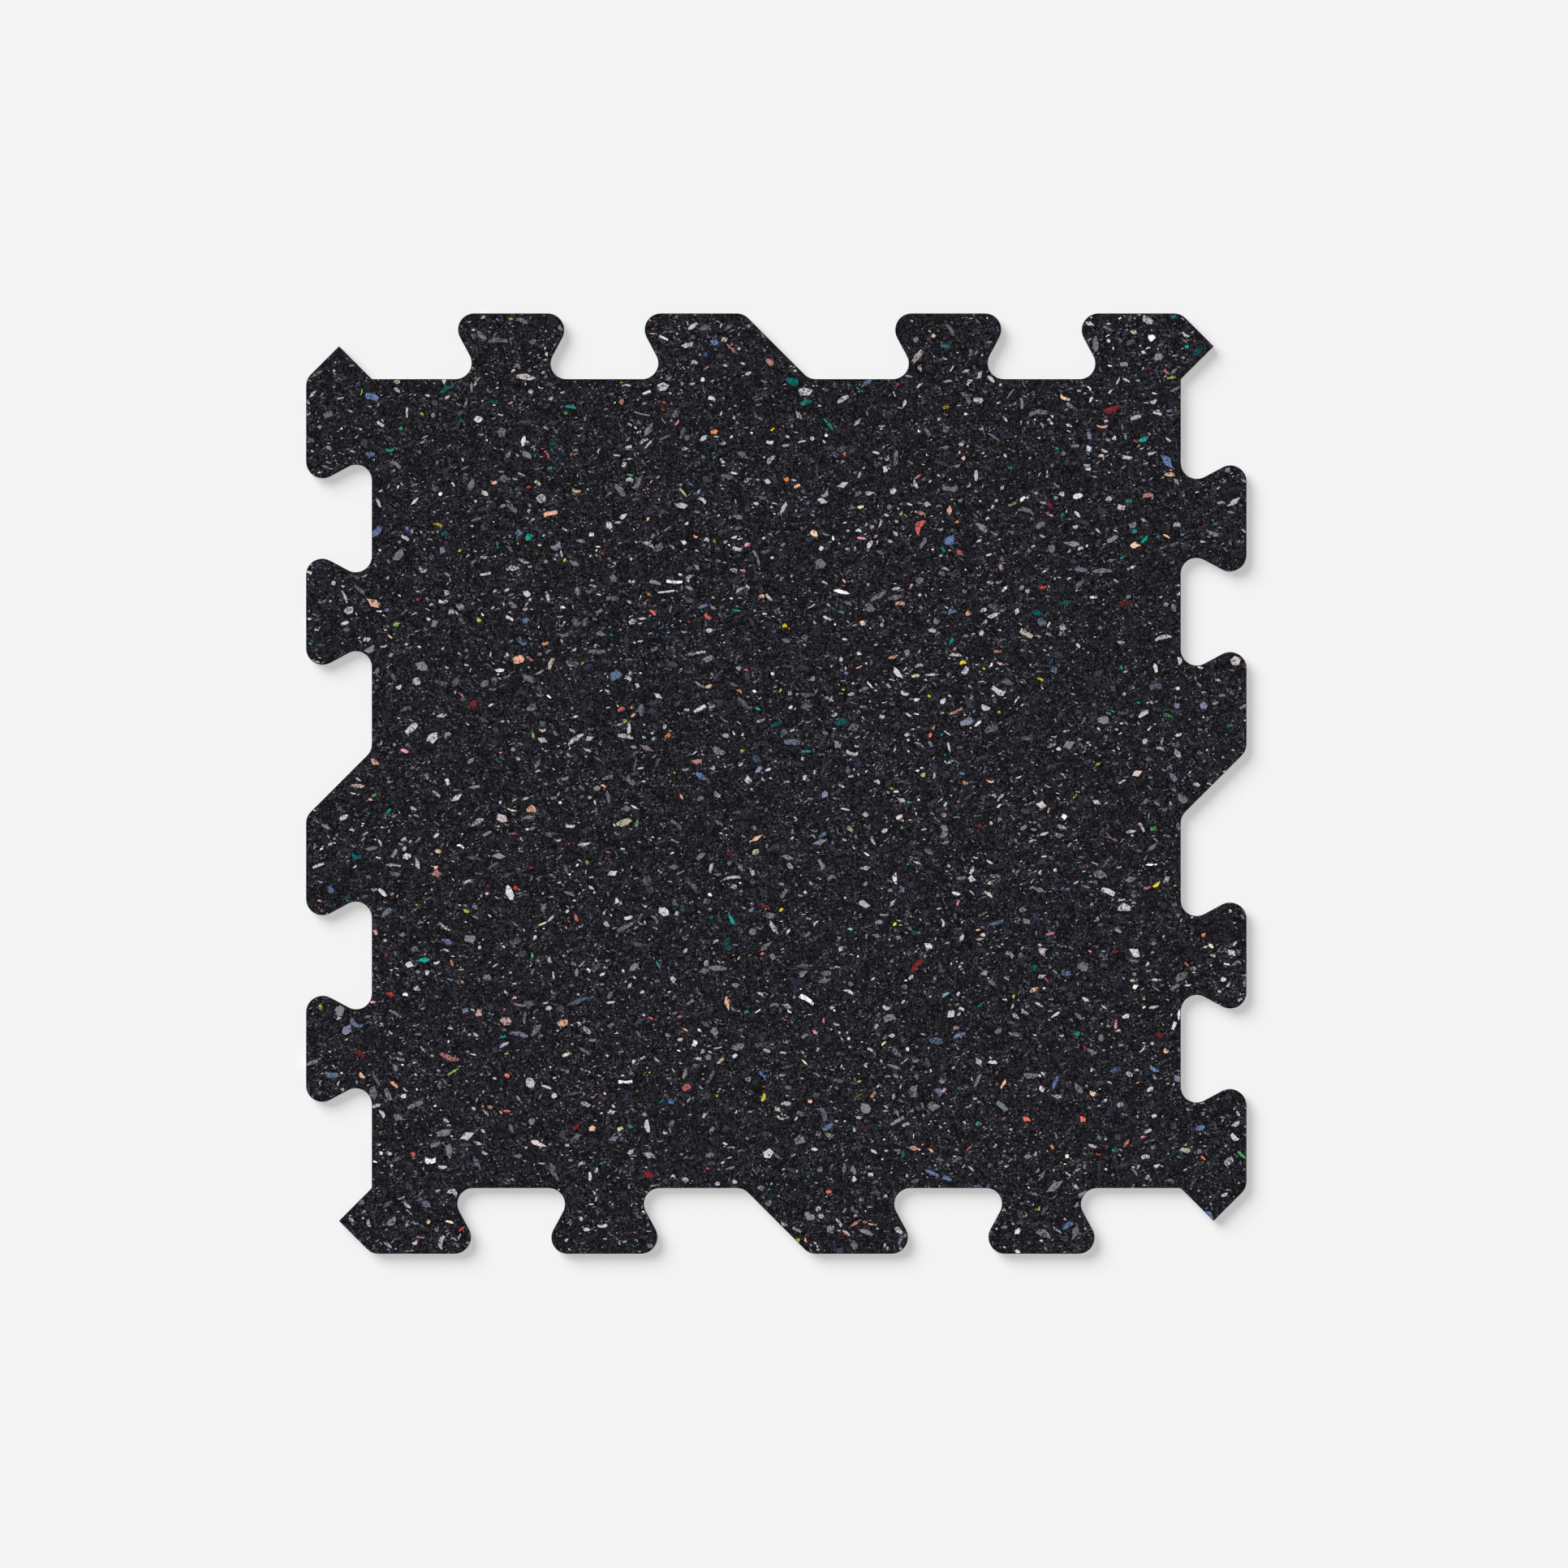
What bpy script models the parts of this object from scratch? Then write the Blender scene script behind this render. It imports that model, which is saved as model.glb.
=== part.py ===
"""An interlocking gym floor tile, cut in one piece from a sheet of bonded rubber granulate.

Metres, +Z up. The tile lies flat on its underside, with the origin under its middle.
All four sides carry the same run of dovetail tabs and sockets, read clockwise from above,
so any side of one tile locks into any side of the next.
"""

from math import asin, atan, ceil, hypot, pi, radians, sin, tan

import bmesh
import bpy
from mathutils import Matrix, Vector

# Driving dimensions of the tile
LAID_PITCH = 0.5842  # the square that one laid tile covers, 23 inches
THICKNESS = 0.008
SIDES = 4
UNITS_PER_SIDE = 2  # a unit is socket, tab, socket, tab, and a slope at each end

# Driving dimensions of the dovetails
TAB_DEPTH = 0.0439  # from the sockets' floor to the tabs' end
TAB_WIDTH = 0.0707  # across a tab's widest place, near its end
TAB_NECK = 0.0526  # across a tab's narrowest place, near its root
CUT_CLEARANCE = 0.0007  # between a tab's flank and the wall of the socket that it fills
CORNER_RADIUS = 0.0108  # of every rounded corner of the outline
NUB_FOOT_RADIUS = 0.003  # where the pointed nub at a tile's corner meets the socket's floor
ARC_STEP = radians(10)  # the turn between two points of an arc

# The rubber: near-black granulate, matt
RUBBER_COLOUR = (0.0245, 0.0240, 0.0285, 1.0)
RUBBER_ROUGHNESS = 0.82

# Worked out from the driving dimensions
OUTER_LINE = (LAID_PITCH + TAB_DEPTH) / 2  # where the tabs end, from the tile's middle
INNER_LINE = (LAID_PITCH - TAB_DEPTH) / 2  # where the sockets' floors lie
UNIT_LENGTH = LAID_PITCH / UNITS_PER_SIDE
TAB_PITCH = TAB_NECK + TAB_WIDTH + 2 * CUT_CLEARANCE


def clear_scene():
    for thing in list(bpy.data.objects):
        bpy.data.objects.remove(thing, do_unlink=True)


def undercut_angle():
    """The lean of a tab's flank, which touches the arc at the tab's end and the arc at its root."""
    across = 2 * CORNER_RADIUS - (TAB_WIDTH - TAB_NECK) / 2
    along = TAB_DEPTH - 2 * CORNER_RADIUS
    return asin(2 * CORNER_RADIUS / hypot(across, along)) - atan(across / along)


def flank_corners():
    """Half the tab's width at its end and at its root, before these corners are rounded."""
    reach = CORNER_RADIUS * tan(pi / 4 + undercut_angle() / 2) - CORNER_RADIUS
    return TAB_WIDTH / 2 + reach, TAB_NECK / 2 - reach


def side_corners():
    """The corners of one side from left to right, each with the radius that rounds it.

    X runs along the side and Y outwards, both from the tile's middle.
    """
    half_end, half_root = flank_corners()
    corners = [(-LAID_PITCH / 2, LAID_PITCH / 2, 0.0)]
    for unit in range(UNITS_PER_SIDE):
        start = -LAID_PITCH / 2 + unit * UNIT_LENGTH
        foot_radius = CORNER_RADIUS if unit else NUB_FOOT_RADIUS
        first_tab = start + UNIT_LENGTH / 2 - TAB_PITCH / 4
        second_tab = first_tab + TAB_PITCH
        corners += [
            (start + TAB_DEPTH / 2, INNER_LINE, foot_radius),
            (first_tab - half_root, INNER_LINE, CORNER_RADIUS),
            (first_tab - half_end, OUTER_LINE, CORNER_RADIUS),
            (first_tab + half_end, OUTER_LINE, CORNER_RADIUS),
            (first_tab + half_root, INNER_LINE, CORNER_RADIUS),
            (second_tab - half_root, INNER_LINE, CORNER_RADIUS),
            (second_tab - half_end, OUTER_LINE, CORNER_RADIUS),
            (start + UNIT_LENGTH - TAB_DEPTH / 2, OUTER_LINE, CORNER_RADIUS),
        ]
    return corners


def tile_corners():
    """The corners all the way round, clockwise from the top left."""
    corners = []
    for side in range(SIDES):
        turn = Matrix.Rotation(-side * 2 * pi / SIDES, 3, "Z")
        for along, outwards, radius in side_corners():
            corners.append((turn @ Vector((along, outwards, 0.0)), radius))
    return corners


def rounded(before, corner, after, radius):
    """Points of the arc that touches both edges of a corner, or the corner itself if it is sharp."""
    if radius == 0.0:
        return [corner]
    to_before = (before - corner).normalized()
    to_after = (after - corner).normalized()
    half_angle = to_before.angle(to_after) / 2
    centre = corner + (to_before + to_after).normalized() * radius / sin(half_angle)
    arm = corner + to_before * radius / tan(half_angle) - centre
    sweep = pi - 2 * half_angle
    if to_before.cross(to_after).z > 0:
        sweep = -sweep
    steps = ceil(abs(sweep) / ARC_STEP)
    points = []
    for step in range(steps + 1):
        points.append(centre + Matrix.Rotation(sweep * step / steps, 3, "Z") @ arm)
    return points


def tile_outline():
    corners = tile_corners()
    outline = []
    for i, (corner, radius) in enumerate(corners):
        before = corners[i - 1][0]
        after = corners[(i + 1) % len(corners)][0]
        outline += rounded(before, corner, after, radius)
    return outline


def rubber_granulate():
    material = bpy.data.materials.new("rubber_granulate")
    material.use_nodes = True
    shader = material.node_tree.nodes["Principled BSDF"]
    shader.inputs["Base Color"].default_value = RUBBER_COLOUR
    shader.inputs["Roughness"].default_value = RUBBER_ROUGHNESS
    shader.inputs["Metallic"].default_value = 0.0
    material.diffuse_color = RUBBER_COLOUR
    return material


def make_tile():
    """The sheet's underside is one face on the floor, drawn up to the sheet's thickness."""
    shape = bmesh.new()
    underside = shape.faces.new([shape.verts.new(point) for point in tile_outline()])
    drawn = bmesh.ops.extrude_face_region(shape, geom=[underside], use_keep_orig=True)
    top_verts = [item for item in drawn["geom"] if isinstance(item, bmesh.types.BMVert)]
    bmesh.ops.translate(shape, verts=top_verts, vec=(0.0, 0.0, THICKNESS))
    bmesh.ops.recalc_face_normals(shape, faces=shape.faces)
    mesh = bpy.data.meshes.new("rubber_tile")
    shape.to_mesh(mesh)
    shape.free()
    tile = bpy.data.objects.new("rubber_tile", mesh)
    tile.data.materials.append(rubber_granulate())
    bpy.context.scene.collection.objects.link(tile)
    return tile


clear_scene()
make_tile()
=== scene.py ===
# %% [markdown]
# An interlocking gym floor tile of bonded rubber granulate, seen from straight above.
# Ground tyre rubber and a share of coloured chips are stirred into a binder, pressed into a block,
# peeled off as a sheet and cut to the tile's outline. So all its faces, the walls and the underside
# too, show the same granules cut through. The script keeps the shape that the CAD gives the tile. It
# draws the fine black ground as a material and lays the chips in as real pieces, because a chip
# has an outline of its own that a pattern can't give.

# %% Load the frame
import random
from collections import namedtuple
from math import ceil, cos, exp, hypot, log, pi, radians, sqrt

import bmesh
import bpy
import numpy as np
from mathutils import Matrix, Vector, noise


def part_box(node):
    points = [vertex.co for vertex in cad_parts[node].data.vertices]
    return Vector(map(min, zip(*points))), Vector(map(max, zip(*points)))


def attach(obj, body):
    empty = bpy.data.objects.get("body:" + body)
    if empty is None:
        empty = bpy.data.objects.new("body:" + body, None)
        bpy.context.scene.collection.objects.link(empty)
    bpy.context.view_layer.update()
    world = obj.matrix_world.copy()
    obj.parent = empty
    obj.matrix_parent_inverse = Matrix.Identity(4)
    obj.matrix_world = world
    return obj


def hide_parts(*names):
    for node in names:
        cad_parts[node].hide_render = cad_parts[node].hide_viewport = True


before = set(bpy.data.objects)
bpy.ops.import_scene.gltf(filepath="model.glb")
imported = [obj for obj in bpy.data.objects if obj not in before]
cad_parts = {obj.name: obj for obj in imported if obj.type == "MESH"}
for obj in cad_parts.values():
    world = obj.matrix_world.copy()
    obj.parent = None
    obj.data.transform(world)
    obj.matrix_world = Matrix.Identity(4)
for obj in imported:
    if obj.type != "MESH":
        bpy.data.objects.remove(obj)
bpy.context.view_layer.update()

MM = 0.001
DM2 = 0.01
CLOSE = 0.01 * MM  # points nearer than this count as one

low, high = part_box("rubber_tile")
print("tile in mm:", [round(size / MM, 1) for size in high - low])

# %% [markdown]
# The camera stands where the photograph was taken from: straight above, a little to the right of
# the middle, with its top edge along the tile's north side. A long lens far away keeps the walls
# from showing, as in the photograph. The distance follows from how wide a stretch of the tile's
# upper face the picture takes in.

# %% Camera
FRAME_WIDTH = 1047.0 * MM
LENS = 200.0
SENSOR = 36.0
VIEW_CENTRE = (5.15 * MM, -0.27 * MM)

camera = bpy.data.objects.new("camera", bpy.data.cameras.new("camera"))
camera.data.lens = LENS
camera.data.sensor_width = SENSOR
camera.location = (*VIEW_CENTRE, high.z + FRAME_WIDTH * LENS / SENSOR)
bpy.context.scene.collection.objects.link(camera)
bpy.context.scene.camera = camera
print("camera height in m:", round(camera.location.z, 3))

# %% [markdown]
# Three helpers serve every finish and piece. Colours are picked as sRGB hex, as a paint chart gives
# them, and Blender's shaders want them linear. The formula and its numbers are the sRGB standard's.

# %% Colours
def linear(hex_colour):
    channels = [int(hex_colour[at:at + 2], 16) / 255 for at in (1, 3, 5)]
    return [c / 12.92 if c <= 0.04045 else ((c + 0.055) / 1.055) ** 2.4 for c in channels] + [1.0]


print("mid grey in linear light:", round(linear("#808080")[0], 3))

# %% [markdown]
# A node is added with its settings, and each of its inputs gets a value or another node's socket.
# A finished mesh becomes an object at the origin that rides on the tile's one body. It could be
# moved into place instead, but the export puts every object at the origin before it bakes.

# %% Nodes and pieces
def add_node(tree, kind, inputs=None, **settings):
    node = tree.nodes.new(kind)
    for name, value in settings.items():
        setattr(node, name, value)
    for name, value in (inputs or {}).items():
        if isinstance(value, bpy.types.NodeSocket):
            tree.links.new(value, node.inputs[name])
        else:
            node.inputs[name].default_value = value
    return node


def finished_piece(name, shape, material):
    mesh = bpy.data.meshes.new(name)
    shape.to_mesh(mesh)
    shape.free()
    mesh.materials.append(material)
    piece = bpy.data.objects.new(name, mesh)
    bpy.context.scene.collection.objects.link(piece)
    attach(piece, "root")
    mesh.calc_loop_triangles()
    print(name, "has", len(mesh.loop_triangles), "triangles")
    return piece


# %% [markdown]
# The body of the tile is the CAD's own solid. Its mesh comes in as loose triangles, so a copy of
# it is merged and its flat faces are dissolved to single ones. It is drawn in by the height that
# chips may stand proud, so that the chips end where the CAD's faces are.

# %% Body shape
PROUD = 0.05 * MM
SAME_FLAT = radians(1)  # faces that meet flatter than this are one

middle = (low + high) / 2
drawn_in = [1 - 2 * PROUD / side for side in high - low]

body_shape = bmesh.new()
body_shape.from_mesh(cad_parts["rubber_tile"].data)
bmesh.ops.remove_doubles(body_shape, verts=body_shape.verts, dist=CLOSE)
bmesh.ops.dissolve_limit(
    body_shape, angle_limit=SAME_FLAT, verts=body_shape.verts, edges=body_shape.edges
)
bmesh.ops.transform(
    body_shape,
    matrix=Matrix.Translation(middle) @ Matrix.Diagonal((*drawn_in, 1)) @ Matrix.Translation(-middle),
    verts=body_shape.verts,
)
body_shape.normal_update()
print("merged outline has", len(body_shape.verts) // 2, "points")

# %% [markdown]
# The cut outline is read off the upper face, as runs from corner to corner. One function tells how
# deep a point of the sheet lies inside it, with the nearest wall. It serves to trim chips at the
# edge, to seat chips on the walls and to unwrap the walls.

# %% The cut outline
upper_face = max(body_shape.faces, key=lambda face: face.normal.z * face.calc_area())
face_area = upper_face.calc_area()
corners = np.array([loop.vert.co.xy for loop in upper_face.loops])
runs = np.roll(corners, -1, axis=0) - corners
run_lengths = np.hypot(*runs.T)
run_starts = np.cumsum(run_lengths) - run_lengths
outwards = np.column_stack((runs[:, 1], -runs[:, 0])) / run_lengths[:, None]
outline_length = run_lengths.sum()
print("outline in m:", round(outline_length, 3), "face in dm2:", round(face_area / DM2, 1))

Wall = namedtuple("Wall", "depth place outward along")


def nearest_wall(point):
    offsets = np.array(point) - corners
    shares = np.clip((offsets * runs).sum(axis=1) / run_lengths ** 2, 0.0, 1.0)
    gaps = offsets - runs * shares[:, None]
    widths = np.hypot(*gaps.T)
    i = widths.argmin()
    inside = -1.0 if gaps[i] @ outwards[i] > 0 else 1.0
    place = corners[i] + runs[i] * shares[i]
    return Wall(inside * widths[i], place, outwards[i], run_starts[i] + run_lengths[i] * shares[i])


# %% [markdown]
# A die leaves rubber with a slightly dull edge. A bevel of a third of a millimetre in two steps gives
# that to the level edges, and catches a thin line of light in side views. The upright corners stay
# as the outline has them.

# %% Dull edges
ARRIS = 0.35 * MM
SHARP = radians(80)

edges = [edge for edge in body_shape.edges if edge.calc_face_angle() > SHARP]
level_edges = [edge for edge in edges if abs(edge.verts[0].co.z - edge.verts[1].co.z) < CLOSE]
bmesh.ops.bevel(
    body_shape,
    geom=level_edges,
    offset=ARRIS,
    offset_type="OFFSET",
    segments=2,
    profile=0.5,
    affect="EDGES",
    clamp_overlap=True,
    material=-1,
)
print("bevelled", len(level_edges), "edges")

# %% [markdown]
# The body gets a UV map of its own. The upper face takes most of the map, because it is what shows. The
# underside has a small copy beside it, and the walls lie above them as strips, each strip as long as
# the upper face is wide.

# %% Unwrap the body
UPPER_SHARE = 0.74
UNDER_SHARE = 0.235
MAP_GAP = 0.008
STRIP_FILL = 0.8
LEVEL = 0.99  # how upright the normal of a face on the upper side or the underside is, at least

shown = high - low
scale = UPPER_SHARE / shown.x
strip_run = UPPER_SHARE / scale
strip_count = ceil(outline_length / strip_run)
strip_pitch = (1 - UPPER_SHARE - 3 * MAP_GAP) / strip_count


def unwrap(shape):
    uv = shape.loops.layers.uv.new("OFBake")
    for face in shape.faces:
        if abs(face.normal.z) > LEVEL:
            upper = face.normal.z > 0
            share = UPPER_SHARE if upper else UNDER_SHARE
            start = MAP_GAP if upper else UPPER_SHARE + 2 * MAP_GAP
            for loop in face.loops:
                across = (loop.vert.co.x - low.x) / shown.x
                up = (loop.vert.co.y - low.y) / shown.y
                loop[uv].uv = (start + across * share, MAP_GAP + up * share)
            continue
        centre = nearest_wall(face.calc_center_median().xy).along
        strip = int(centre / strip_run)
        for loop in face.loops:
            along = nearest_wall(loop.vert.co.xy).along
            along += outline_length * round((centre - along) / outline_length)
            across = MAP_GAP + (along - strip * strip_run) * scale
            up = strip + STRIP_FILL * (loop.vert.co.z - low.z) / shown.z
            loop[uv].uv = (across, UPPER_SHARE + 2 * MAP_GAP + up * strip_pitch)


unwrap(body_shape)
for face in body_shape.faces:
    face.smooth = abs(face.normal.z) < LEVEL
print("walls unwrapped in", strip_count, "strips")

# %% [markdown]
# The ground is tyre crumb: black rubber with carbon black in it, milled to grains and shreds of one
# to four millimetres, bonded with a thin clear film and peeled. It could be modelled grain by grain,
# but half a million grains this small show only as texture, so it is drawn with Voronoi cells. Each
# layer of cells is stretched and turned another way, and each cell gives its distance and its random
# numbers to the one grain that lies in it.

# %% Stretched cells
LAYER_SHIFT = (0.013, 0.021, 0.017)  # metres from layer to layer, so that no two look alike


def stretched_cells(tree, place, layer, length, width, turn):
    """The distance from a cell's middle, and the cell's random numbers, in one layer of crumb."""
    turned = add_node(
        tree,
        "ShaderNodeMapping",
        {
            "Vector": place,
            "Location": [shift * layer for shift in LAYER_SHIFT],
            "Rotation": (0.0, 0.0, radians(turn)),
            "Scale": (length * MM, width * MM, width * MM),
        },
        vector_type="TEXTURE",
    )
    cells = add_node(
        tree, "ShaderNodeTexVoronoi", {"Vector": turned.outputs["Vector"], "Scale": 1.0}
    )
    chance = add_node(tree, "ShaderNodeSeparateColor", {"Color": cells.outputs["Color"]})
    return cells.outputs["Distance"], chance


print("layers lie", round(hypot(*LAYER_SHIFT) / MM, 1), "mm apart")

# %% [markdown]
# A grain fills the middle of its cell, out to a reach of its own, and has a soft rim. Most grains
# are dark and a few are light. The widest ones, the flakes, are hollow: their middle is darker than
# their rim, as where a flat flake was torn off its neighbour.

# %% Grains
LEAST_REACH = 0.25  # from a grain's middle to its rim, as a share of its cell
MORE_REACH = 0.35  # on top of that, at most
RIM_SLOPE = 10.0
TONE_POWER = 2.4  # the higher, the rarer light grains are
HOLLOW_STARTS = 0.1  # how far inside the rim a hollow grain starts to sink, as a share of its cell
HOLLOW_ENDS = 0.3


def grain_layer(tree, place, layer, length, width, turn, lightest, hollow):
    """How light the grains of one layer are, and nought between them."""
    distance, chance = stretched_cells(tree, place, layer, length, width, turn)
    reach = add_node(
        tree,
        "ShaderNodeMath",
        {0: chance.outputs["Green"], 1: MORE_REACH, 2: LEAST_REACH},
        operation="MULTIPLY_ADD",
    )
    inner = add_node(
        tree,
        "ShaderNodeMath",
        {0: reach.outputs[0], 1: distance},
        operation="SUBTRACT",
    )
    grain = add_node(
        tree,
        "ShaderNodeMath",
        {0: inner.outputs[0], 1: RIM_SLOPE},
        operation="MULTIPLY",
        use_clamp=True,
    )
    level = add_node(
        tree, "ShaderNodeMath", {0: chance.outputs["Red"], 1: TONE_POWER}, operation="POWER"
    )
    tone = add_node(
        tree, "ShaderNodeMath", {0: level.outputs[0], 1: lightest}, operation="MULTIPLY"
    )
    sunken = add_node(
        tree,
        "ShaderNodeMapRange",
        {
            "Value": inner.outputs[0],
            "From Min": HOLLOW_STARTS,
            "From Max": HOLLOW_ENDS,
            "To Min": 1.0,
            "To Max": hollow,
        },
    )
    shaped = add_node(
        tree,
        "ShaderNodeMath",
        {0: grain.outputs[0], 1: sunken.outputs["Result"]},
        operation="MULTIPLY",
    )
    return add_node(
        tree,
        "ShaderNodeMath",
        {0: shaped.outputs[0], 1: tone.outputs[0]},
        operation="MULTIPLY",
    ).outputs[0]


print("grains reach", LEAST_REACH, "to", LEAST_REACH + MORE_REACH, "of their cells")

# %% [markdown]
# The smallest light marks in the crumb are slivers of the coloured chips. They are thin and rare, so
# most cells of their layers are empty, and their edges are sharp. Each is light to a degree of its own.

# %% Slivers
SLIVER_SHARE = 0.033  # of the cells hold a sliver
SLIVER_REACH = 0.30


def sliver_layer(tree, place, layer, length, width, turn):
    """How bright the slivers of one layer are. Most cells have none."""
    distance, chance = stretched_cells(tree, place, layer, length, width, turn)
    near = add_node(
        tree, "ShaderNodeMath", {0: distance, 1: SLIVER_REACH}, operation="LESS_THAN"
    )
    rare = add_node(
        tree,
        "ShaderNodeMath",
        {0: chance.outputs["Red"], 1: 1 - SLIVER_SHARE},
        operation="GREATER_THAN",
    )
    sliver = add_node(
        tree, "ShaderNodeMath", {0: near.outputs[0], 1: rare.outputs[0]}, operation="MULTIPLY"
    )
    return add_node(
        tree,
        "ShaderNodeMath",
        {0: sliver.outputs[0], 1: chance.outputs["Green"]},
        operation="MULTIPLY",
    ).outputs[0]


print("cells with a sliver, of a hundred:", round(SLIVER_SHARE * 100, 1))

# %% [markdown]
# All the finishes of the tile are bare rubber. Its index of refraction is 1.5, but a torn, porous face
# gives back little gloss, so its specular level is low and its roughness high. One noise makes the
# roughness uneven, and the same or another gives the face its relief.

# %% Rubber finishes
RUBBER_SPECULAR = 0.04
ROUGHNESS_SPREAD = 0.2


def rubber(name):
    material = bpy.data.materials.new(name)
    material.use_nodes = True
    shader = material.node_tree.nodes["Principled BSDF"]
    shader.inputs["Specular IOR Level"].default_value = RUBBER_SPECULAR
    return material, material.node_tree, shader


def set_surface(tree, shader, colour, blotches, roughness, height, relief, strength):
    """Gives a finish its colour, and its roughness and relief from noises."""
    tree.links.new(colour, shader.inputs["Base Color"])
    uneven = add_node(
        tree,
        "ShaderNodeMath",
        {0: blotches, 1: ROUGHNESS_SPREAD, 2: roughness - ROUGHNESS_SPREAD / 2},
        operation="MULTIPLY_ADD",
    )
    tree.links.new(uneven.outputs[0], shader.inputs["Roughness"])
    dents = add_node(
        tree, "ShaderNodeBump", {"Height": height, "Distance": relief, "Strength": strength}
    )
    tree.links.new(dents.outputs["Normal"], shader.inputs["Normal"])


def set_stops(ramp, stops):
    for i, (position, colour) in enumerate(stops):
        stop = ramp.elements[i] if i < 2 else ramp.elements.new(position)
        stop.position = position
        stop.color = linear(colour)


print("specular level of rubber:", RUBBER_SPECULAR)

# %% [markdown]
# In the ground the lightest grain wins at each point. The shreds are lighter in some clumps of
# the sheet than in others, as the crumb of different tyres was stirred in. A fine noise, the dust,
# tears the outlines of the grains and greys the gaps between them. Cut grains of many tyres
# differ a little in tone, from black to slate grey, and a ramp gives them these tones. What
# the eye gets is a dense dark fleck with no direction of its own, and no shine.

# %% Ground material
FLAKE_LAYERS = (  # length and width in mm, and how they lie in degrees
    (4.6, 2.3, 15),
    (3.6, 1.9, 100),
)
SHRED_LAYERS = (
    (2.6, 0.80, 12),
    (1.7, 0.66, 55),
    (2.1, 0.70, 98),
    (2.5, 0.76, 145),
)
SLIVER_LAYERS = (
    (3.4, 0.76, 28),
    (2.8, 0.66, 135),
)
FLAKE_LIGHTEST = 0.62
FLAKE_HOLLOW = 0.45  # how light a flake's middle is beside its rim
SHRED_LIGHTEST = (0.56, 0.90)  # in the darkest and in the lightest clumps of the sheet
CLUMP = 9.0 * MM
CLUMP_NOISE = (0.35, 0.65)  # the values of the noise in those clumps
DUST = 0.9 * MM
DUST_WEIGHT = 0.20  # how much the dust lightens the crumb, at most
TORN = 0.5 * MM  # how far the dust shifts the grains, at most
NOISE_DETAIL = 2.0
GROUND_TONES = (
    (0.07, "#040404"),
    (0.11, "#0a0a0b"),
    (0.16, "#141416"),
    (0.28, "#1a191d"),
    (0.48, "#26252b"),
    (0.68, "#36353d"),
    (0.84, "#4d4c55"),
    (1.00, "#7b7a85"),
)
SLIVER_COLOUR = "#b6b6be"
CRUMB_ROUGHNESS = 0.88
CRUMB_RELIEF = 0.2 * MM
CRUMB_RELIEF_STRENGTH = 0.6


def tyre_crumb():
    material, tree, shader = rubber("tyre_crumb_bonded_and_peeled")
    place = add_node(tree, "ShaderNodeTexCoord").outputs["Object"]
    dust = add_node(
        tree, "ShaderNodeTexNoise", {"Vector": place, "Scale": 1 / DUST, "Detail": NOISE_DETAIL}
    )
    torn = add_node(
        tree,
        "ShaderNodeVectorMath",
        {0: dust.outputs["Color"], 1: (TORN, TORN, TORN), 2: place},
        operation="MULTIPLY_ADD",
    )
    clumps = add_node(
        tree, "ShaderNodeTexNoise", {"Vector": place, "Scale": 1 / CLUMP, "Detail": NOISE_DETAIL}
    )
    shred_lightest = add_node(
        tree,
        "ShaderNodeMapRange",
        {
            "Value": clumps.outputs["Fac"],
            "From Min": CLUMP_NOISE[0],
            "From Max": CLUMP_NOISE[1],
            "To Min": SHRED_LIGHTEST[0],
            "To Max": SHRED_LIGHTEST[1],
        },
    ).outputs["Result"]
    layers = [(*sizes, FLAKE_LIGHTEST, FLAKE_HOLLOW) for sizes in FLAKE_LAYERS]
    layers += [(*sizes, shred_lightest, 1.0) for sizes in SHRED_LAYERS]
    lightest = 0.0
    for layer, sizes in enumerate(layers):
        tone = grain_layer(tree, torn.outputs["Vector"], layer, *sizes)
        pair = {0: lightest, 1: tone}
        lightest = add_node(tree, "ShaderNodeMath", pair, operation="MAXIMUM").outputs[0]
    dusted = add_node(
        tree,
        "ShaderNodeMath",
        {0: dust.outputs["Fac"], 1: DUST_WEIGHT, 2: lightest},
        operation="MULTIPLY_ADD",
    )
    tones = add_node(tree, "ShaderNodeValToRGB", {"Fac": dusted.outputs[0]})
    set_stops(tones.color_ramp, GROUND_TONES)

    sliver = 0.0
    for layer, sizes in enumerate(SLIVER_LAYERS, len(layers)):
        pair = {0: sliver, 1: sliver_layer(tree, torn.outputs["Vector"], layer, *sizes)}
        sliver = add_node(tree, "ShaderNodeMath", pair, operation="MAXIMUM").outputs[0]
    coloured = add_node(
        tree,
        "ShaderNodeMix",
        {
            "Factor": sliver,
            "A": tones.outputs["Color"],
            "B": linear(SLIVER_COLOUR),
        },
        data_type="RGBA",
    )
    set_surface(
        tree,
        shader,
        colour=coloured.outputs["Result"],
        blotches=dust.outputs["Fac"],
        roughness=CRUMB_ROUGHNESS,
        height=dust.outputs["Fac"],
        relief=CRUMB_RELIEF,
        strength=CRUMB_RELIEF_STRENGTH,
    )
    return material


body = finished_piece("granulate_body", body_shape, tyre_crumb())
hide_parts("rubber_tile")

# %% [markdown]
# The chips are what gives this rubber its look. They are bits of coloured rubber, broken in a mill:
# shards with three to seven corners, and peels, which are long, often narrower at their ends and
# sometimes bowed. A pattern would give them all much the same outline, without straight breaks and
# sharp corners. So each one is drawn flat as a mesh, from a circle with few corners or from a strip
# of four squares, and the rim of a larger one is torn. All chances come from one seeded dice, so
# each run gives the same tile.

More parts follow.
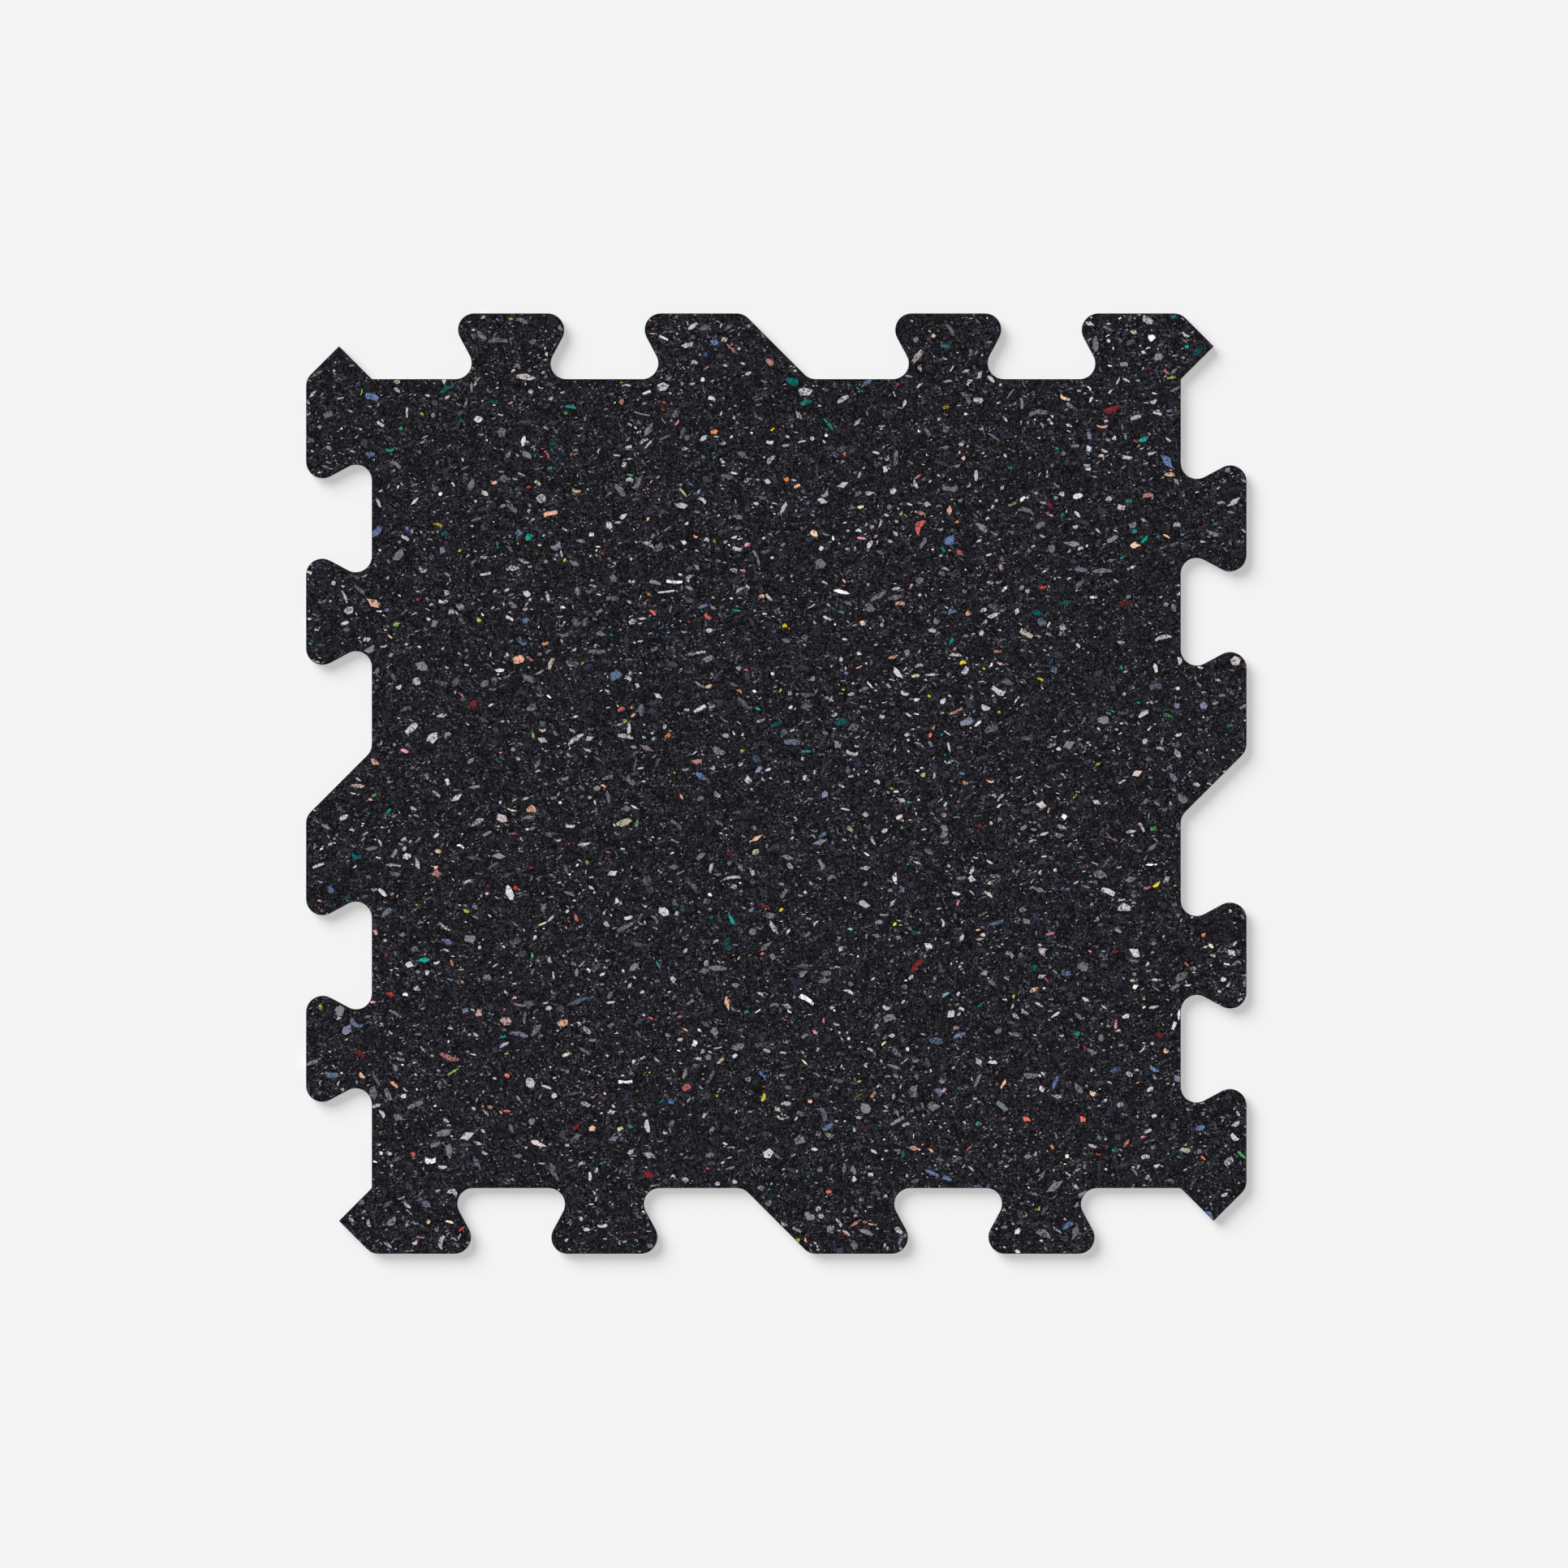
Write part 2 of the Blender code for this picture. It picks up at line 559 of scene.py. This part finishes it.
# %% Chip outlines
SEED = 2163
JAGGED_AREA = 2.2 * MM * MM  # chips over this size have a torn rim
JAG = 0.12  # how far a corner of it is shifted, beside the chip's half width
SMALL_SHARD_CORNERS = (3, 4, 4, 5, 5, 6)
LARGE_SHARD_CORNERS = (4, 4, 5, 5, 6, 7)
SHARD_RADII = (0.7, 1.15)
PEEL_STEPS = 4
PEEL_TAPER = 3  # the higher, the nearer to its ends a peel narrows
PEEL_WIDTHS = (0.7, 1.2)
PEEL_END_WIDTHS = (0.3, 1.0)
BOW_SPREAD = 0.5

Chip = namedtuple("Chip", "side x y turn area stretch peel height pigment shade")
dice = random.Random(SEED)


def draw_shard(shape, area):
    count = dice.choice(SMALL_SHARD_CORNERS if area < JAGGED_AREA else LARGE_SHARD_CORNERS)
    bmesh.ops.create_circle(shape, cap_ends=True, segments=count, radius=1.0)
    for corner in shape.verts:
        swing = Matrix.Rotation(dice.uniform(-1.0, 1.0) / count, 3, "Z")
        corner.co = swing @ corner.co * dice.uniform(*SHARD_RADII)


def draw_peel(shape):
    bow = dice.gauss(0, BOW_SPREAD)
    end_width = dice.uniform(*PEEL_END_WIDTHS)
    bmesh.ops.create_grid(shape, x_segments=PEEL_STEPS, y_segments=1, size=1.0)
    for corner in shape.verts:
        narrowing = 1 - (1 - end_width) * abs(corner.co.x) ** PEEL_TAPER
        corner.co.y *= narrowing * dice.uniform(*PEEL_WIDTHS)
        corner.co.y += bow * (1 - corner.co.x ** 2)


def roughen(shape):
    """Breaks each rim edge of an outline in two, as torn rubber does, and shifts the new corner."""
    rim = [edge for edge in shape.edges if edge.is_boundary]
    drawn = bmesh.ops.subdivide_edges(shape, edges=rim, cuts=1)["geom_inner"]
    for corner in drawn:
        if isinstance(corner, bmesh.types.BMVert):
            corner.co += Vector((dice.uniform(-1, 1), dice.uniform(-1, 1), 0)) * JAG


def draw_flat(shape, chip):
    """Draws a chip's outline to its area, in its place on the unrolled face."""
    if chip.peel:
        draw_peel(shape)
    else:
        draw_shard(shape, chip.area)
    stretched = Matrix.Diagonal((chip.stretch, 1, 1, 1))
    bmesh.ops.transform(shape, matrix=stretched, verts=shape.verts)
    if chip.area > JAGGED_AREA:
        roughen(shape)
    size = sqrt(chip.area / sum(face.calc_area() for face in shape.faces))
    turned = Matrix.Rotation(chip.turn, 4, "Z") @ Matrix.Scale(size, 4)
    placed = Matrix.Translation((chip.x, chip.y, 0)) @ turned
    bmesh.ops.transform(shape, matrix=placed, verts=shape.verts)


print("chips over", round(JAGGED_AREA / MM ** 2, 1), "mm2 have a torn rim")

# %% [markdown]
# The die cuts through whatever chip lies in its way, so a chip that reaches past a wall is trimmed.
# Whole solids could be cut with a boolean, but with thousands of chips that is slow and leaves open
# ones. Here the flat outline is cut by planes along the nearest walls, just inside the dull edge, and
# gets its thickness afterwards, so it stays a closed solid. A chip on a wall is drawn on
# the unrolled wall, where it is cut level with the edges and parted where the wall turns.

# %% Trim at the walls
EDGE_MARGIN = 0.45 * MM
MOST_CUTS = 6


def cut(shape, place, outward, clear_outer=True):
    bmesh.ops.bisect_plane(
        shape,
        geom=[*shape.verts, *shape.edges, *shape.faces],
        plane_co=place,
        plane_no=outward,
        clear_outer=clear_outer,
    )


def merge_close_corners(shape):
    bmesh.ops.remove_doubles(shape, verts=shape.verts, dist=CLOSE)
    loose = [corner for corner in shape.verts if not corner.link_faces]
    bmesh.ops.delete(shape, geom=loose, context="VERTS")


def trim_on_wall(shape):
    """Ends a chip short of the tile's edges, and parts its face where the wall turns."""
    reach = shown.z / 2 - EDGE_MARGIN
    for up in (1, -1):
        cut(shape, (0, up * reach, 0), (0, up, 0))
    along = [corner.co.x for corner in shape.verts]
    for turning in run_starts:
        if along and min(along) < turning < max(along):
            cut(shape, (turning, 0, 0), (1, 0, 0), clear_outer=False)


def trim_on_face(shape, chip):
    reach = max(hypot(corner.co.x - chip.x, corner.co.y - chip.y) for corner in shape.verts)
    if nearest_wall((chip.x, chip.y)).depth > reach + EDGE_MARGIN:
        return
    for _ in range(MOST_CUTS):
        walls = [nearest_wall(corner.co.xy) for corner in shape.verts]
        worst = min(walls, key=lambda wall: wall.depth, default=None)
        if worst is None or worst.depth > EDGE_MARGIN - CLOSE:
            return
        place = worst.place - worst.outward * EDGE_MARGIN
        cut(shape, (*place, 0), (*worst.outward, 0))


print("chips end", round(EDGE_MARGIN / MM, 2), "mm inside the tile's edges")

# %% [markdown]
# A chip goes a third of a millimetre into the rubber and stands a few hundredths proud of it, with
# a large one's rim a little lower than its crown, as cut rubber that has sprung back. Its buried
# base is a little wider than its face. The extrude can leave a shell inside out, so its normals
# are worked out afresh, and turned round where its volume comes out below nought.

# %% Chip solids
CHIP_DEPTH = 0.3 * MM
BASE_SPREAD = 1.08
CROWN_AREA = 8.0 * MM * MM  # chips over this size have a rim below their crown
CROWN_RIM = 0.15 * MM
CROWN_RISE = 0.012 * MM


def face_outwards(shape):
    bmesh.ops.recalc_face_normals(shape, faces=shape.faces)
    if shape.calc_volume(signed=True) < 0:
        bmesh.ops.reverse_faces(shape, faces=shape.faces)


def thicken(shape, chip):
    base = shape.faces[:]
    centre = sum((corner.co for corner in shape.verts), Vector()) / len(shape.verts)
    drawn = bmesh.ops.extrude_face_region(shape, geom=base, use_keep_orig=True)["geom"]
    upper = [item for item in drawn if isinstance(item, bmesh.types.BMVert)]
    crown = [item for item in drawn if isinstance(item, bmesh.types.BMFace)]
    for corner in {corner for face in base for corner in face.verts}:
        corner.co = centre + (corner.co - centre) * BASE_SPREAD
        corner.co.z = -CHIP_DEPTH
    for corner in upper:
        corner.co.z = chip.height
    face_outwards(shape)
    if chip.area > CROWN_AREA:
        bmesh.ops.inset_region(
            shape,
            faces=crown,
            thickness=CROWN_RIM,
            depth=CROWN_RISE,
            use_even_offset=True,
            use_boundary=True,
        )


print("chips reach", round(CHIP_DEPTH / MM, 2), "mm into the rubber")

# %% [markdown]
# Each chip gets a cell of its own in the piece's UV map, and two numbers that its material reads: which
# pigment it has, and how light it is. Its lightness is the chip's own tone plus painted shading. Each
# corner is made a little lighter or darker, so the colour shades across the chip as if one side caught
# more light than the other. Then it is brought from the flat to its face of the tile, or onto the wall
# by the run that it lies on.

# %% Marks and seats
CELL_FILL = 0.8
# Painted shading across a chip: a corner is lighter or darker than the chip's own tone by up to this
# much.
PAINTED_SHADING_SPREAD = 0.35  # how far a corner's lightness is from the chip's own, at most


def mark(shape, chip, cell, cells_across):
    """Writes the chip's numbers and its cell of the map onto it, while it still lies flat."""
    pigment = shape.verts.layers.float.new("pigment")
    shade = shape.verts.layers.float.new("shade")
    uv = shape.loops.layers.uv.new("OFBake")
    lowest = Vector(map(min, *(corner.co for corner in shape.verts)))
    highest = Vector(map(max, *(corner.co for corner in shape.verts)))
    size = highest - lowest
    column = cell % cells_across
    row = cell // cells_across
    for corner in shape.verts:
        corner[pigment] = chip.pigment
        # The chip's own tone, plus a random step at each corner that paints shading across the chip.
        corner[shade] = chip.shade + dice.uniform(-PAINTED_SHADING_SPREAD, PAINTED_SHADING_SPREAD)
    for face in shape.faces:
        for loop in face.loops:
            across = (loop.vert.co.x - lowest.x) / size.x - 0.5
            up = (loop.vert.co.y - lowest.y) / size.y - 0.5
            loop[uv].uv = (
                (column + 0.5 + CELL_FILL * across) / cells_across,
                (row + 0.5 + CELL_FILL * up) / cells_across,
            )


FACE_SEATS = {
    "upper": Matrix.Translation((0, 0, high.z - PROUD)),
    "under": Matrix.Translation((0, 0, low.z + PROUD)) @ Matrix.Diagonal((1, 1, -1, 1)),
}


def on_wall(point):
    """From the unrolled wall, with X along it, Y up and Z out of it, to its place on the tile."""
    along = point.x % outline_length
    i = np.searchsorted(run_starts, along + CLOSE, side="right") - 1
    outward = outwards[i]
    if abs(along - run_starts[i]) < CLOSE:
        outward = outward + outwards[i - 1]
        outward = outward / np.hypot(*outward)
    place = corners[i] + runs[i] / run_lengths[i] * (along - run_starts[i]) + outward * point.z
    return Vector((*place, middle.z + point.y))


def seat(shape, chip):
    """Brings a chip from the unrolled face to its place on the tile."""
    if chip.side == "wall":
        for corner in shape.verts:
            corner.co = on_wall(corner.co)
    else:
        bmesh.ops.transform(shape, matrix=FACE_SEATS[chip.side], verts=shape.verts)
    face_outwards(shape)


print("seats:", [*FACE_SEATS, "wall"])

# %% [markdown]
# How many chips there are, and how large, follows the photograph: per square decimetre there are
# five that cover over 20 square millimetres, and over fifty crumbs of about one. They are
# thrown at random, the largest first, and one that lands on another is thrown again. They lie
# mostly along the sheet, because the block was pressed and peeled. Stirring leaves them a little
# denser in some bands than in others, and in loose clumps within them, so a throw is also refused
# by two slow noises that are drawn out along the sheet.

# %% Throw the chips
CHIP_SIZES = (  # smallest and largest area in mm2, and chips per dm2 of face
    (20.0, 36.0, 5),
    (12.0, 20.0, 8),
    (6.0, 12.0, 18),
    (3.0, 6.0, 26),
    (1.6, 3.0, 28),
    (0.7, 1.6, 56),
)
LIE_SPREAD = radians(39)
USUAL_STRETCH = 1.85
STRETCH_SPREAD = 0.4
PEEL_SHARE = 0.42
PEEL_LONGER = 1.4
BAND_LENGTH = 160 * MM
BAND_WIDTH = 22 * MM
BAND_WEIGHT = 0.5
BAND_SLICE = 5.0  # where the noise in space is cut through
CLUMP_LENGTH = 16 * MM
CLUMP_WIDTH = 9 * MM
CLUMP_WEIGHT = 0.7
CLUMP_SLICE = -5.0
USUALLY_KEPT = 0.6  # of the throws, where both noises are nought
ROOM = 1.25  # how much longer the place kept free for a chip is than a plain block of its area
TRIES = 30
STANDS = (0.3, 0.75)  # how high a chip stands, as a share of the most that it may
PATCH = 0.5 * MM
LARGE_AREA = 12.0  # mm2
DULL_PIGMENTS = 0.45  # large chips have only this share of a family's colours, the duller first

patch_counts = [int(size / PATCH) + 2 for size in shown.xy]
taken = {side: np.zeros(patch_counts, bool) for side in FACE_SEATS}


def throw(side):
    """A place on the unrolled wall, or on a face of the tile where the sheet's bands allow it."""
    if side == "wall":
        return dice.uniform(0, outline_length), dice.uniform(-shown.z, shown.z) / 2
    while True:
        x = dice.uniform(low.x, high.x)
        y = dice.uniform(low.y, high.y)
        band = noise.noise(Vector((x / BAND_LENGTH, y / BAND_WIDTH, BAND_SLICE)))
        clump = noise.noise(Vector((x / CLUMP_LENGTH, y / CLUMP_WIDTH, CLUMP_SLICE)))
        kept = USUALLY_KEPT + BAND_WEIGHT * band + CLUMP_WEIGHT * clump
        if dice.random() < kept and nearest_wall((x, y)).depth > 0:
            return x, y


def patches(side, x, y, turn, length, width):
    """The patches of a face that a chip covers, as slices along its length."""
    steps = max(1, round(length / width))
    for step in range(steps):
        along = ((step + 0.5) / steps - 0.5) * (length - width / 2)
        at = Vector((x, y)) + Matrix.Rotation(turn, 2) @ Vector((along, 0)) - low.xy
        first = [max(0, int((value - width / 2) / PATCH)) for value in at]
        last = [int((value + width / 2) / PATCH) + 1 for value in at]
        yield taken[side][first[0]:last[0], first[1]:last[1]]


def thrown_chip(side, least, most):
    area = exp(dice.uniform(log(least), log(most))) * MM * MM
    peel = dice.random() < PEEL_SHARE
    longer = PEEL_LONGER if peel else 1.0
    stretch = max(1.0, USUAL_STRETCH * exp(dice.gauss(0, STRETCH_SPREAD)) * longer)
    turn = dice.gauss(0, LIE_SPREAD)
    length = sqrt(area * stretch) * ROOM
    width = length / stretch
    for _ in range(TRIES):
        x, y = throw(side)
        if side == "wall":
            break
        spots = list(patches(side, x, y, turn, length, width))
        if not any(spot.any() for spot in spots):
            for spot in spots:
                spot[:] = True
            break
    height = dice.uniform(*STANDS) * PROUD
    pigment = dice.random() * (DULL_PIGMENTS if least >= LARGE_AREA else 1.0)
    return Chip(side, x, y, turn, area, stretch, peel, height, pigment, dice.random())


print("chips per dm2:", sum(density for _, _, density in CHIP_SIZES))

# %% [markdown]
# The chips are sorted into families by colour, and each family is a piece of its own with its own
# finish. Pale and mid greys are over three chips in four. Whites, warm colours and cool colours
# share the rest, and the small crumbs are greyer than the large chips. Dark shards are laid in
# besides: shreds of tyre that are just lighter than the ground.

# %% Chip families
Family = namedtuple("Family", "large middling small colours")
FAMILIES = {
    "white_chips": Family(0.02, 0.04, 0.04, ("#efedea", "#e9e6e0", "#dfe2ea", "#e8dcc8", "#e4e4e6")),
    "pale_grey_chips": Family(
        0.26, 0.39, 0.41, ("#aeaeb3", "#c1b6b6", "#bfbdc3", "#a9a9b4", "#b9bcc8", "#9c9ca6", "#acaca8")
    ),
    "mid_grey_chips": Family(
        0.52, 0.38, 0.44, ("#77777d", "#706f74", "#626166", "#6b6a79", "#7c7b85", "#5c5b63", "#6f7280")
    ),
    "warm_chips": Family(
        0.08,
        0.13,
        0.08,
        (
            "#c8ada6",
            "#d9ab93",
            "#a16e6a",
            "#cf9b83",
            "#6e1f22",
            "#d6b79a",
            "#a39a8a",
            "#ad5552",
            "#e3a988",
            "#c9453a",
            "#cfc49a",
            "#b9a63c",
            "#d8655c",
            "#cdb726",
            "#e58a50",
            "#cf8796",
        ),
    ),
    "cool_chips": Family(
        0.18,
        0.11,
        0.08,
        (
            "#636674",
            "#5f6676",
            "#71748a",
            "#54677d",
            "#0b5a5c",
            "#1c9687",
            "#5c6e95",
            "#777a8f",
            "#758f9b",
            "#2e727a",
            "#8ab5bd",
            "#028c79",
            "#6a7e62",
            "#4d70a8",
            "#478f56",
            "#84a857",
        ),
    ),
}
SMALL_AREA = 3.0  # mm2
DARK_COLOURS = (
    "#35343c",
    "#302f36",
    "#30323d",
    "#3c3b45",
    "#2a2f45",
    "#3f3f4a",
    "#3a3335",
    "#44444e",
    "#33363f",
    "#38373c",
)
DARK_SIZES = (  # as CHIP_SIZES
    (6.0, 18.0, 10),
    (2.0, 6.0, 16),
)


def thrown_family(least):
    size = "large" if least >= LARGE_AREA else "middling" if least >= SMALL_AREA else "small"
    shares = [getattr(family, size) for family in FAMILIES.values()]
    return dice.choices(list(FAMILIES), shares)[0]


side_areas = {"upper": face_area, "under": face_area, "wall": outline_length * shown.z}
chips = {name: [] for name in (*FAMILIES, "dark_shards")}
for side, area in side_areas.items():
    for least, most, density in CHIP_SIZES:
        for _ in range(round(density * area / DM2)):
            chips[thrown_family(least)].append(thrown_chip(side, least, most))
    for least, most, density in DARK_SIZES:
        for _ in range(round(density * area / DM2)):
            chips["dark_shards"].append(thrown_chip(side, least, most))
print({name: len(thrown) for name, thrown in chips.items()})

# %% [markdown]
# The chips are EPDM rubber coloured right through and broken cold, so a face is matt and nearly
# even, with a faint cloud of pigment in it and bites of black crumb pressed into it. The
# family's colours are steps of a ramp that the chip's pigment number picks from. The eye gets a
# soft, dry colour without a highlight: the roughness is close to the crumb's, the relief finer.

# %% Chip material
CLOUD = 1.3 * MM
CLOUD_DETAIL = 3.0
CLOUD_GRIT = 0.65
CLOUD_DEPTH = 2.0
SHADE_DEPTH = 0.55
DARKENING = -0.35
BITE = 1.5 * MM
BITE_GRIT = 0.6
BITE_SHADE = -0.08  # light chips are bitten less
BITE_NOISE = (0.50, 0.56)  # the values of the noise where a bite starts and where it is full
BITE_COVER = 0.8
BITE_COLOUR = "#1a191d"
CHIP_ROUGHNESS = 0.83
CHIP_RELIEF = 0.08 * MM
CHIP_RELIEF_STRENGTH = 0.5


def epdm_rubber(name, colours):
    material, tree, shader = rubber("epdm_rubber_" + name)
    place = add_node(tree, "ShaderNodeTexCoord").outputs["Object"]
    pigment = add_node(tree, "ShaderNodeAttribute", attribute_name="pigment")
    shade = add_node(tree, "ShaderNodeAttribute", attribute_name="shade")
    colour = add_node(tree, "ShaderNodeValToRGB", {"Fac": pigment.outputs["Fac"]})
    colour.color_ramp.interpolation = "CONSTANT"
    set_stops(colour.color_ramp, [(i / len(colours), pick) for i, pick in enumerate(colours)])
    cloud = add_node(
        tree,
        "ShaderNodeTexNoise",
        {"Vector": place, "Scale": 1 / CLOUD, "Detail": CLOUD_DETAIL, "Roughness": CLOUD_GRIT},
    )
    # The shade attribute holds the chip's own tone and the painted shading that changes from corner to
    # corner.
    lightness = add_node(
        tree,
        "ShaderNodeMath",
        {0: shade.outputs["Fac"], 1: SHADE_DEPTH, 2: DARKENING},
        operation="MULTIPLY_ADD",
    )
    clouded = add_node(
        tree,
        "ShaderNodeMath",
        {0: cloud.outputs["Fac"], 1: CLOUD_DEPTH, 2: lightness.outputs[0]},
        operation="MULTIPLY_ADD",
    )
    crumbs = add_node(
        tree,
        "ShaderNodeTexNoise",
        {"Vector": place, "Scale": 1 / BITE, "Detail": NOISE_DETAIL, "Roughness": BITE_GRIT},
    )
    bites = add_node(
        tree,
        "ShaderNodeMath",
        {0: shade.outputs["Fac"], 1: BITE_SHADE, 2: crumbs.outputs["Fac"]},
        operation="MULTIPLY_ADD",
    )
    bitten = add_node(
        tree,
        "ShaderNodeMapRange",
        {
            "Value": bites.outputs[0],
            "From Min": BITE_NOISE[0],
            "From Max": BITE_NOISE[1],
            "To Min": 0.0,
            "To Max": BITE_COVER,
        },
    )
    toned = add_node(
        tree,
        "ShaderNodeMix",
        {
            "Factor": 1.0,
            "A": colour.outputs["Color"],
            "B": clouded.outputs[0],
        },
        data_type="RGBA",
        blend_type="MULTIPLY",
    )
    crumbed = add_node(
        tree,
        "ShaderNodeMix",
        {
            "Factor": bitten.outputs["Result"],
            "A": toned.outputs["Result"],
            "B": linear(BITE_COLOUR),
        },
        data_type="RGBA",
    )
    set_surface(
        tree,
        shader,
        colour=crumbed.outputs["Result"],
        blotches=cloud.outputs["Fac"],
        roughness=CHIP_ROUGHNESS,
        height=crumbs.outputs["Fac"],
        relief=CHIP_RELIEF,
        strength=CHIP_RELIEF_STRENGTH,
    )
    return material


print("colours in all:", sum(len(family.colours) for family in FAMILIES.values()))

# %% [markdown]
# Each chip is made in a small mesh of its own, because trimming and thickening act on a whole mesh,
# and the family's piece gathers them. An object for each would be simpler, but thousands of objects
# are slow to draw and to export.

# %% Lay the chips in
LEAST_AREA = 0.25 * MM * MM  # a chip that trimming leaves smaller than this is left out


def laid_family(name, colours):
    joined = bmesh.new()
    joined.verts.layers.float.new("pigment")
    joined.verts.layers.float.new("shade")
    joined.loops.layers.uv.new("OFBake")
    scratch = bpy.data.meshes.new("scratch")
    cells_across = ceil(sqrt(len(chips[name])))
    for cell, chip in enumerate(chips[name]):
        shape = bmesh.new()
        draw_flat(shape, chip)
        if chip.side == "wall":
            trim_on_wall(shape)
        else:
            trim_on_face(shape, chip)
        merge_close_corners(shape)
        if sum(face.calc_area() for face in shape.faces) > LEAST_AREA:
            thicken(shape, chip)
            mark(shape, chip, cell, cells_across)
            seat(shape, chip)
            shape.to_mesh(scratch)
            joined.from_mesh(scratch)
        shape.free()
    bpy.data.meshes.remove(scratch)
    return finished_piece(name, joined, epdm_rubber(name, colours))


for name, family in FAMILIES.items():
    laid_family(name, family.colours)
laid_family("dark_shards", DARK_COLOURS)

# %% [markdown]
# The tile lies on a plain pale floor, matt as backdrop paper, so that the floor shows no gloss. It is
# far larger than the tile, so its own edges stay out of low views.

# %% Floor
FLOOR_SIZE = 30.0
FLOOR_COLOUR = "#e6e6e6"

floor_shape = bmesh.new()
bmesh.ops.create_grid(floor_shape, x_segments=1, y_segments=1, size=FLOOR_SIZE / 2)
floor_mesh = bpy.data.meshes.new("floor")
floor_shape.to_mesh(floor_mesh)
floor_shape.free()
floor = bpy.data.objects.new("floor", floor_mesh)
bpy.context.scene.collection.objects.link(floor)

paper = bpy.data.materials.new("matt_paper_backdrop")
paper.use_nodes = True
paper_shader = paper.node_tree.nodes["Principled BSDF"]
paper_shader.inputs["Base Color"].default_value = linear(FLOOR_COLOUR)
paper_shader.inputs["Roughness"].default_value = 1.0
paper_shader.inputs["Specular IOR Level"].default_value = 0.0
floor_mesh.materials.append(paper)
print("floor in m:", FLOOR_SIZE)

# %% [markdown]
# The photograph has a soft shadow on the lower right only, and an even light over the tile. So
# a broad lamp stands at the upper left, a fill lamp straight above adds light with hardly a shadow
# of its own, and a pale sky softens the rest. Their shares add up to one, which brings the bare floor
# to the photograph's background.

# %% Light
BACKGROUND = "#f4f4f4"
KEY_SHARE = 0.42
FILL_SHARE = 0.52
KEY_HEIGHT = radians(38)
KEY_TURN = radians(225)
KEY_WIDTH = radians(42)
FILL_WIDTH = radians(5)

full_light = linear(BACKGROUND)[0] / linear(FLOOR_COLOUR)[0]


def sun(name, strength, width, turn):
    lamp = bpy.data.lights.new(name, "SUN")
    lamp.energy = strength
    lamp.angle = width
    lamp_object = bpy.data.objects.new(name, lamp)
    lamp_object.rotation_euler = turn
    bpy.context.scene.collection.objects.link(lamp_object)


key_tilt = pi / 2 - KEY_HEIGHT
key_strength = pi * full_light * KEY_SHARE / cos(key_tilt)
sun("key_lamp", key_strength, KEY_WIDTH, (key_tilt, 0, KEY_TURN))
sun("fill_lamp", pi * full_light * FILL_SHARE, FILL_WIDTH, (0, 0, 0))

world = bpy.data.worlds.new("pale_room")
world.use_nodes = True
sky = world.node_tree.nodes["Background"]
sky.inputs["Color"].default_value = (1.0, 1.0, 1.0, 1.0)
sky.inputs["Strength"].default_value = full_light * (1 - KEY_SHARE - FILL_SHARE)
bpy.context.scene.world = world
bpy.context.scene.view_settings.view_transform = "Standard"
print("light on the floor:", round(full_light, 3))
